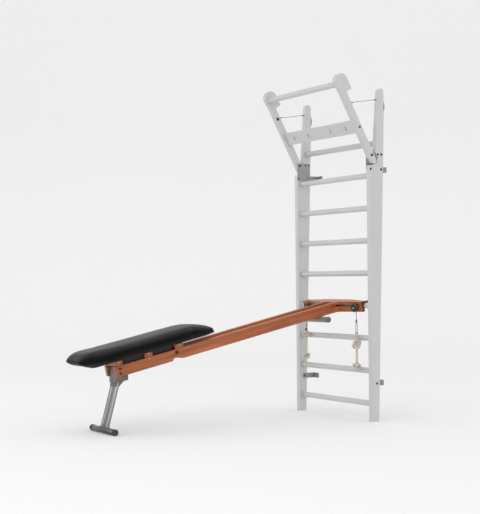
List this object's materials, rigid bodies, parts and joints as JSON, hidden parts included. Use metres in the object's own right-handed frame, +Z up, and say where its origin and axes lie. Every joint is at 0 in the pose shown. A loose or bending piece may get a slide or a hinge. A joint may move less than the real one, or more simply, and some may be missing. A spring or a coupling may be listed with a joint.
{
  "type": "wall bars",
  "caption": "Wooden wall bars with a fold-out pull-up frame, and a hook-on sloping bench whose padded seat slides on rails and pulls rope handles.",
  "frame": {"origin": "under the middle of the whole set's box, on the floor", "axes": "+Z up, +Y towards the wall, X along the rungs"},
  "size_m": [0.9066, 2.0452, 2.2374],
  "materials": {
    "white_lacquered_wood": "pale grey-white lacquer, satin",
    "red_brown_wood": "red-brown stain, satin varnish",
    "plywood": "bare plywood",
    "black_leatherette": "soft sheen",
    "grey_steel": "satin grey",
    "bright_steel": "zinc plated",
    "dark_steel": "dark satin",
    "aluminium": "mill finish",
    "black_plastic": "moulded",
    "black_cord": "braided",
    "cotton_rope": "twisted cotton"
  },
  "bodies": {
    "wall_bars": {"upright_left": "white_lacquered_wood", "upright_right": "white_lacquered_wood", "rung_1": "white_lacquered_wood", "rung_2": "white_lacquered_wood", "rung_3": "white_lacquered_wood", "rung_4": "white_lacquered_wood", "rung_5": "white_lacquered_wood", "rung_6": "white_lacquered_wood", "rung_7": "white_lacquered_wood", "rung_8": "white_lacquered_wood", "rung_9": "white_lacquered_wood", "pivot_plate_left": "grey_steel", "pivot_plate_right": "grey_steel", "wall_bracket_upper_left": "grey_steel", "wall_bracket_upper_right": "grey_steel", "wall_bracket_lower_left": "grey_steel", "wall_bracket_lower_right": "grey_steel", "pivot_bolt_left": "dark_steel", "pivot_bolt_right": "dark_steel", "stay_cable_left": "dark_steel", "stay_cable_right": "dark_steel"},
    "pull_up_frame": {"pull_up_arm_left": "white_lacquered_wood", "pull_up_arm_right": "white_lacquered_wood", "pull_up_bar": "white_lacquered_wood", "crossboard": "white_lacquered_wood"},
    "bench": {"rail_left": "red_brown_wood", "rail_right": "red_brown_wood", "yoke_lower": "red_brown_wood", "yoke_upper": "red_brown_wood", "hook_plate_left": "dark_steel", "hook_plate_right": "dark_steel", "foot_bar": "dark_steel", "track_left": "aluminium", "track_right": "aluminium", "leg_bracket": "grey_steel", "leg_pin": "bright_steel", "pulley_block_left": "black_plastic", "pulley_block_right": "black_plastic", "cord_left": "black_cord", "cord_right": "black_cord", "cord_run_left": "black_cord", "cord_run_right": "black_cord", "snap_hook": "bright_steel", "cord_toggle": "black_plastic", "rope_handle_left": "cotton_rope", "rope_handle_right": "cotton_rope"},
    "leg": {"leg_frame": "grey_steel"},
    "trolley": {"keel": "red_brown_wood", "batten_foot": "red_brown_wood", "batten_middle": "red_brown_wood", "batten_head": "red_brown_wood", "pad_board": "plywood", "pad": "black_leatherette"},
    "pulley_left": {"pulley_left": "black_plastic"},
    "pulley_right": {"pulley_right": "black_plastic"},
    "inner_pulley_left": {"inner_pulley_left": "black_plastic"},
    "inner_pulley_right": {"inner_pulley_right": "black_plastic"},
    "wheels_front": {"wheel_set_1": "black_plastic"},
    "wheels_rear": {"wheel_set_2": "black_plastic"}
  },
  "joints": [
    {"name": "pull_up_fold", "type": "hinge", "parent": "wall_bars", "child": "pull_up_frame", "pos_m": [0, 0.87353, 1.7244], "axis": [-1, 0, 0], "range_deg": [0, 31], "deforming": ["stay_cable_left", "stay_cable_right"]},
    {"name": "bench_tilt", "type": "hinge", "parent": "wall_bars", "child": "bench", "pos_m": [0, 0.88903, 0.7477], "axis": [-1, 0, 0], "range_deg": [0, 30]},
    {"name": "trolley_slide", "type": "slide", "parent": "bench", "child": "trolley", "axis": [0, 0.9756, 0.2197], "range_m": [0, 0.85], "deforming": ["cord_run_left", "cord_run_right"]},
    {"name": "leg_fold", "type": "hinge", "parent": "bench", "child": "leg", "pos_m": [0, -0.70905, 0.34004], "axis": [1, 0, 0], "range_deg": [0, 123.5]},
    {"name": "pulley_right_spin", "type": "hinge", "parent": "bench", "child": "pulley_right", "pos_m": [0.283, 0.84123, 0.73283], "axis": [0, 0.9756, 0.2197], "continuous": true},
    {"name": "pulley_left_spin", "type": "hinge", "parent": "bench", "child": "pulley_left", "pos_m": [-0.283, 0.84123, 0.73283], "axis": [0, 0.9756, 0.2197], "continuous": true},
    {"name": "inner_pulley_right_spin", "type": "hinge", "parent": "bench", "child": "inner_pulley_right", "pos_m": [0.033, 0.84803, 0.74769], "axis": [0, -0.2197, 0.9756], "continuous": true},
    {"name": "inner_pulley_left_spin", "type": "hinge", "parent": "bench", "child": "inner_pulley_left", "pos_m": [-0.033, 0.84803, 0.74769], "axis": [0, -0.2197, 0.9756], "continuous": true},
    {"name": "front_wheels_roll", "type": "hinge", "parent": "trolley", "child": "wheels_front", "pos_m": [0, -0.63446, 0.41209], "axis": [1, 0, 0], "continuous": true},
    {"name": "rear_wheels_roll", "type": "hinge", "parent": "trolley", "child": "wheels_rear", "pos_m": [0, -0.34374, 0.47756], "axis": [1, 0, 0], "continuous": true}
  ],
  "couplings": [
    {"joint": "pulley_right_spin", "follows": "trolley_slide", "rad_per_m": 54.054},
    {"joint": "pulley_left_spin", "follows": "trolley_slide", "rad_per_m": -54.054},
    {"joint": "inner_pulley_right_spin", "follows": "trolley_slide", "rad_per_m": -83.333},
    {"joint": "inner_pulley_left_spin", "follows": "trolley_slide", "rad_per_m": 83.333},
    {"joint": "front_wheels_roll", "follows": "trolley_slide", "rad_per_m": -83.333},
    {"joint": "rear_wheels_roll", "follows": "trolley_slide", "rad_per_m": -83.333}
  ]
}
